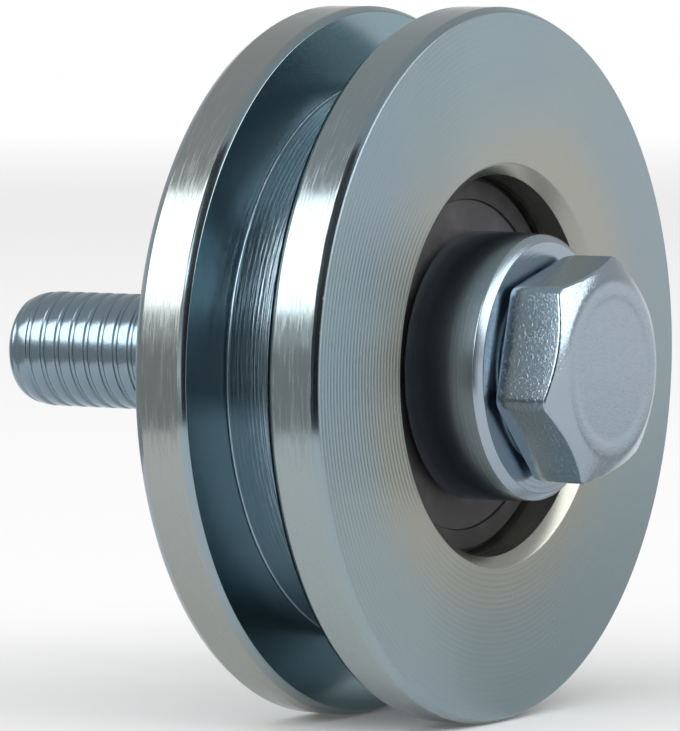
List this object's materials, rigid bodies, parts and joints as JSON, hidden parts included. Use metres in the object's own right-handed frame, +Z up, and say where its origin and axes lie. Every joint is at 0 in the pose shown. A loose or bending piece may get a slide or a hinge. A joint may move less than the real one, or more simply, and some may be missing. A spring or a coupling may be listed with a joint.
{
  "type": "square groove wheel",
  "caption": "Turned steel track wheel with a square groove, spinning on a sealed ball bearing between spacer bushes, bolted to a frame by its own hexagon bolt.",
  "frame": {"origin": "on the axle, at the rear bush's end face, where the wheel seats against its frame", "axes": "+Y along the axle towards the free end of the thread, +Z up, bolt head towards -Y"},
  "size_m": [0.06, 0.0576, 0.06],
  "materials": {
    "wheel_zinc": "turned steel, clear zinc plated",
    "bush_zinc": "turned steel, clear zinc plated",
    "bolt_zinc": "forged steel, clear zinc plated",
    "bearing_steel": "blackened bearing steel",
    "ball_steel": "polished bearing steel",
    "cage_steel": "pressed sheet steel",
    "seal_rubber": "matt black moulded rubber"
  },
  "bodies": {
    "axle": {"hex_bolt": "bolt_zinc", "front_bush": "bush_zinc", "rear_bush": "bush_zinc", "bearing_inner_ring": "bearing_steel"},
    "wheel": {"grooved_wheel": "wheel_zinc", "bearing_outer_ring": "bearing_steel", "front_seal": "seal_rubber", "rear_seal": "seal_rubber"},
    "cage": {"cage_front_half": "cage_steel", "cage_rear_half": "cage_steel", "cage_rivets": "cage_steel"},
    "ball_1": {"bearing_ball_1": "ball_steel"},
    "ball_2": {"bearing_ball_2": "ball_steel"},
    "ball_3": {"bearing_ball_3": "ball_steel"},
    "ball_4": {"bearing_ball_4": "ball_steel"},
    "ball_5": {"bearing_ball_5": "ball_steel"},
    "ball_6": {"bearing_ball_6": "ball_steel"},
    "ball_7": {"bearing_ball_7": "ball_steel"}
  },
  "joints": [
    {"name": "wheel_spin", "type": "hinge", "parent": "axle", "child": "wheel", "pos_m": [0, -0.01275, 0], "axis": [0, 1, 0], "continuous": true},
    {"name": "cage_spin", "type": "hinge", "parent": "axle", "child": "cage", "pos_m": [0, -0.01275, 0], "axis": [0, 1, 0], "continuous": true},
    {"name": "ball_1_roll", "type": "hinge", "parent": "cage", "child": "ball_1", "pos_m": [0.00991, -0.01275, 0.00477], "axis": [0, 1, 0], "continuous": true},
    {"name": "ball_2_roll", "type": "hinge", "parent": "cage", "child": "ball_2", "pos_m": [0.00245, -0.01275, 0.01072], "axis": [0, 1, 0], "continuous": true},
    {"name": "ball_3_roll", "type": "hinge", "parent": "cage", "child": "ball_3", "pos_m": [-0.00686, -0.01275, 0.0086], "axis": [0, 1, 0], "continuous": true},
    {"name": "ball_4_roll", "type": "hinge", "parent": "cage", "child": "ball_4", "pos_m": [-0.011, -0.01275, 0], "axis": [0, 1, 0], "continuous": true},
    {"name": "ball_5_roll", "type": "hinge", "parent": "cage", "child": "ball_5", "pos_m": [-0.00686, -0.01275, -0.0086], "axis": [0, 1, 0], "continuous": true},
    {"name": "ball_6_roll", "type": "hinge", "parent": "cage", "child": "ball_6", "pos_m": [0.00245, -0.01275, -0.01072], "axis": [0, 1, 0], "continuous": true},
    {"name": "ball_7_roll", "type": "hinge", "parent": "cage", "child": "ball_7", "pos_m": [0.00991, -0.01275, -0.00477], "axis": [0, 1, 0], "continuous": true}
  ],
  "couplings": [
    {"joint": "cage_spin", "follows": "wheel_spin", "ratio": 0.6353},
    {"joint": "ball_1_roll", "follows": "wheel_spin", "ratio": 1.7125},
    {"joint": "ball_2_roll", "follows": "wheel_spin", "ratio": 1.7125},
    {"joint": "ball_3_roll", "follows": "wheel_spin", "ratio": 1.7125},
    {"joint": "ball_4_roll", "follows": "wheel_spin", "ratio": 1.7125},
    {"joint": "ball_5_roll", "follows": "wheel_spin", "ratio": 1.7125},
    {"joint": "ball_6_roll", "follows": "wheel_spin", "ratio": 1.7125},
    {"joint": "ball_7_roll", "follows": "wheel_spin", "ratio": 1.7125}
  ]
}
